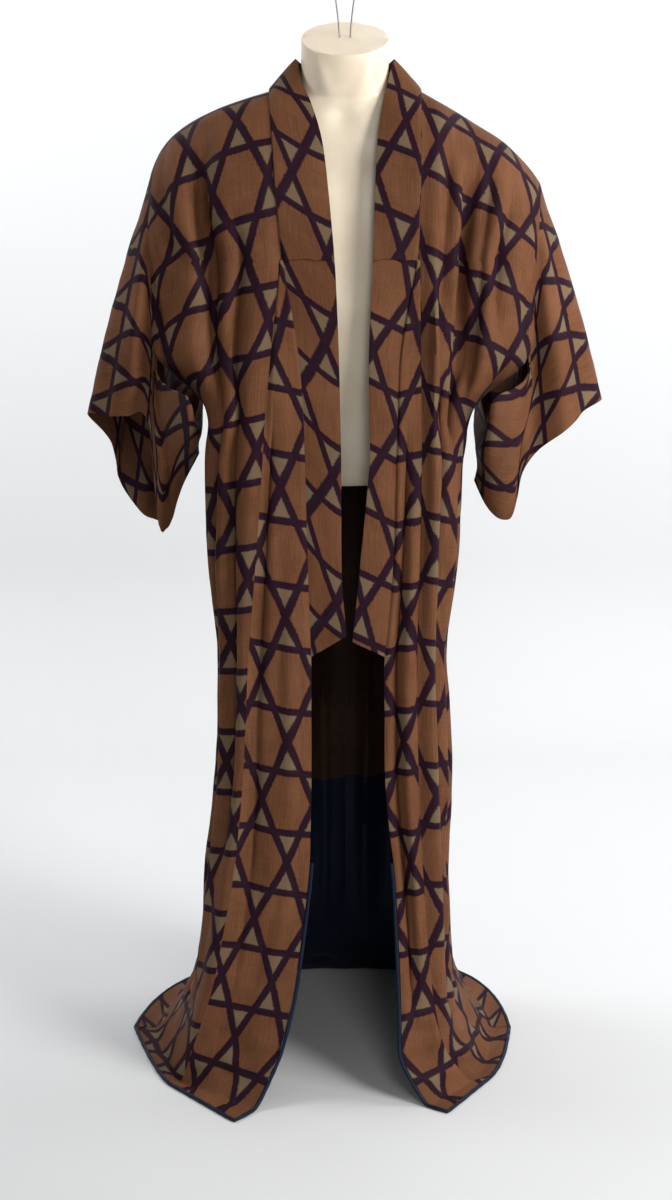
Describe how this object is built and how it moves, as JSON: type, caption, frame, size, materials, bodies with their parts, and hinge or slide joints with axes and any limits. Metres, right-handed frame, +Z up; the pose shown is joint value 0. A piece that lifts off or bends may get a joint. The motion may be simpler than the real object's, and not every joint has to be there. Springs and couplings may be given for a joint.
{
  "type": "kimono on torso form",
  "caption": "Lined silk kimono with a woven lattice of hexagons, hanging open to a trailing hem over a smooth torso form without limbs, with a wire hanging loop",
  "frame": {"origin": "on the floor, under the middle of the whole object's box", "axes": "+Z up; the open front faces -Y; the wearer's left is +X"},
  "size_m": [0.7108, 0.5428, 1.5102],
  "materials": {
    "kasuri_silk_body": "brown silk with a dark purple lattice",
    "kasuri_silk_sleeve": "brown silk with a dark purple lattice",
    "kasuri_silk_overlap": "brown silk with a dark purple lattice",
    "kasuri_silk_collar": "brown silk with a dark purple lattice",
    "upper_lining_silk": "dark brown plain silk",
    "hem_lining_silk": "navy plain silk",
    "form_shell": "cream, satin",
    "wire_steel": "plain drawn wire"
  },
  "bodies": {
    "root": {"back_right": "kasuri_silk_body", "front_right": "kasuri_silk_body", "overlap_right": "kasuri_silk_overlap", "sleeve_right": "kasuri_silk_sleeve", "lining_right": "upper_lining_silk", "hem_lining_right": "hem_lining_silk", "hem_roll_back_right": "hem_lining_silk", "hem_roll_front_right": "hem_lining_silk", "hem_roll_overlap_right": "hem_lining_silk", "back_left": "kasuri_silk_body", "front_left": "kasuri_silk_body", "overlap_left": "kasuri_silk_overlap", "sleeve_left": "kasuri_silk_sleeve", "lining_left": "upper_lining_silk", "hem_lining_left": "hem_lining_silk", "hem_roll_back_left": "hem_lining_silk", "hem_roll_front_left": "hem_lining_silk", "hem_roll_overlap_left": "hem_lining_silk", "collar": "kasuri_silk_collar", "over_collar": "kasuri_silk_collar", "torso_form": "form_shell", "hanging_wire": "wire_steel"}
  },
  "joints": []
}
